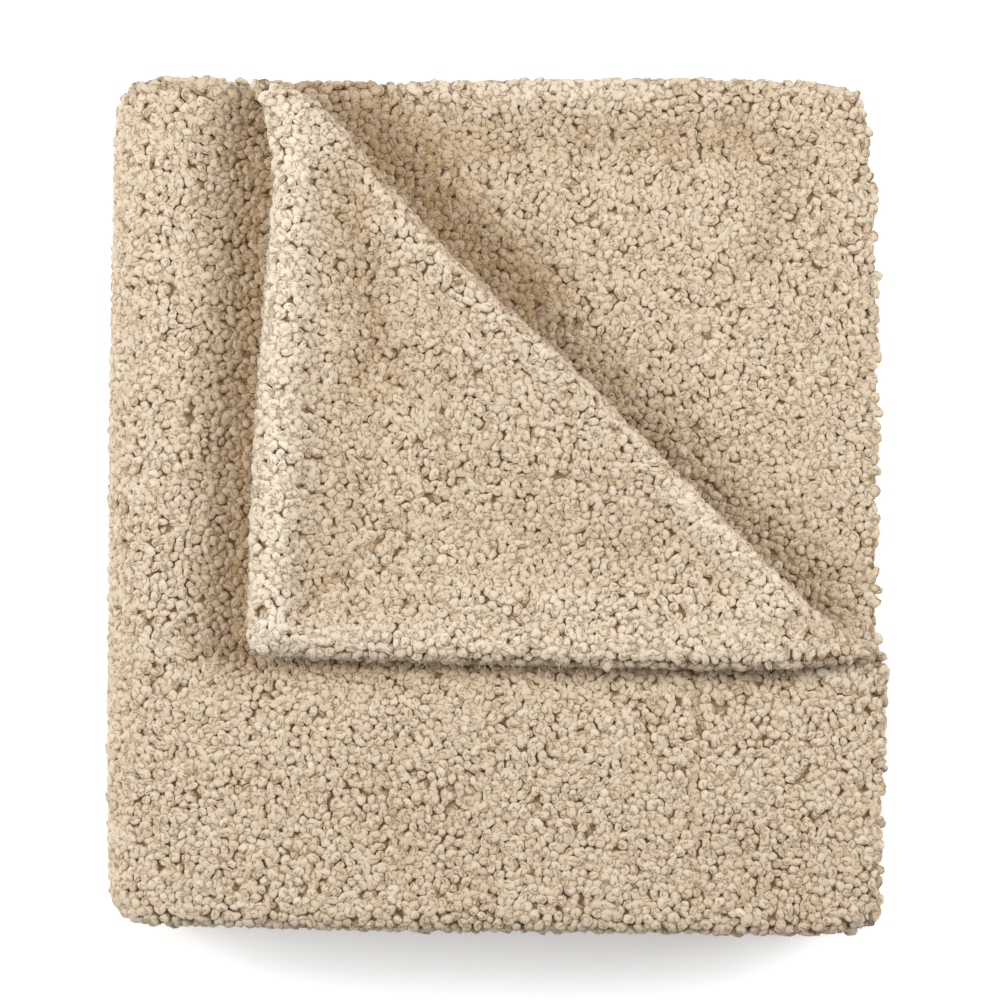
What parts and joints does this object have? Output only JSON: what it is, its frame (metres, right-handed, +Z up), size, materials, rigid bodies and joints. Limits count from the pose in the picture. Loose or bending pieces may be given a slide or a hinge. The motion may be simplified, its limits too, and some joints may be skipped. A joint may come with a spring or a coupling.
{
  "type": "folded teddy fleece throw",
  "caption": "Curly teddy fleece throw, folded into a thick rectangular pad with its free corner turned back over the top.",
  "frame": {"origin": "middle of the underside of the folded pad, on the surface it lies on", "axes": "+Z up through the stack of layers; +Y along the longer side, from the near folded side to the far side where the top layer's hem was; +X to the side of the free hems"},
  "size_m": [0.3972, 0.4374, 0.1068],
  "materials": {
    "teddy_fleece": "matt curly pile, oat beige, the same on both faces"
  },
  "bodies": {
    "root": {"throw": "teddy_fleece"}
  },
  "joints": []
}
